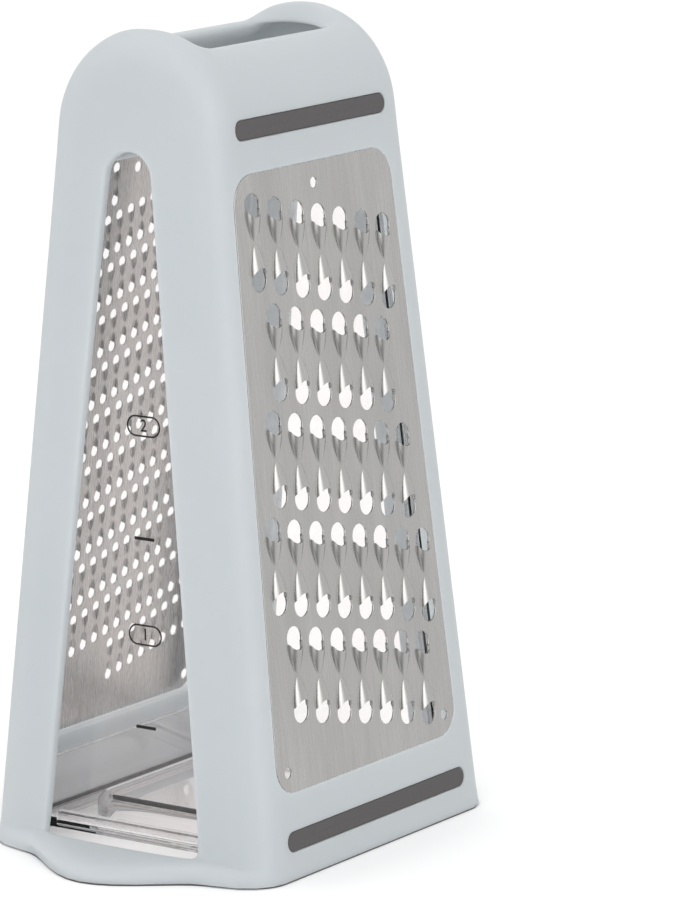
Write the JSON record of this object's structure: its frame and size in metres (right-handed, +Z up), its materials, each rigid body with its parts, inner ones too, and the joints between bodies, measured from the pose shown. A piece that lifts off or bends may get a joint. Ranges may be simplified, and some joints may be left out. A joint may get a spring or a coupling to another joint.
{
  "type": "cheese grater",
  "caption": "Tapered two-sided kitchen grater: coarse and fine steel plates in a moulded housing that lifts off a clear measuring container.",
  "frame": {"origin": "centre of the footprint, on the standing surface", "axes": "+Z up; -Y out of the coarse plate, +Y out of the fine plate; -X and +X out of the two windows"},
  "size_m": [0.136, 0.0888, 0.2094],
  "materials": {
    "housing": "satin moulded ABS",
    "steel": "brushed stainless steel sheet",
    "grip": "soft matte elastomer",
    "container": "clear gloss moulding",
    "marks": "black print"
  },
  "bodies": {
    "container": {"container": "container"},
    "grater": {"housing": "housing", "foot_ring": "grip", "coarse_plate": "steel", "fine_plate": "steel", "front_upper_strip": "grip", "front_lower_strip": "grip", "back_upper_strip": "grip", "back_lower_strip": "grip"}
  },
  "joints": [
    {"name": "lift_off", "type": "slide", "parent": "container", "child": "grater", "axis": [0, 0, 1], "range_m": [0, 0.186]}
  ]
}
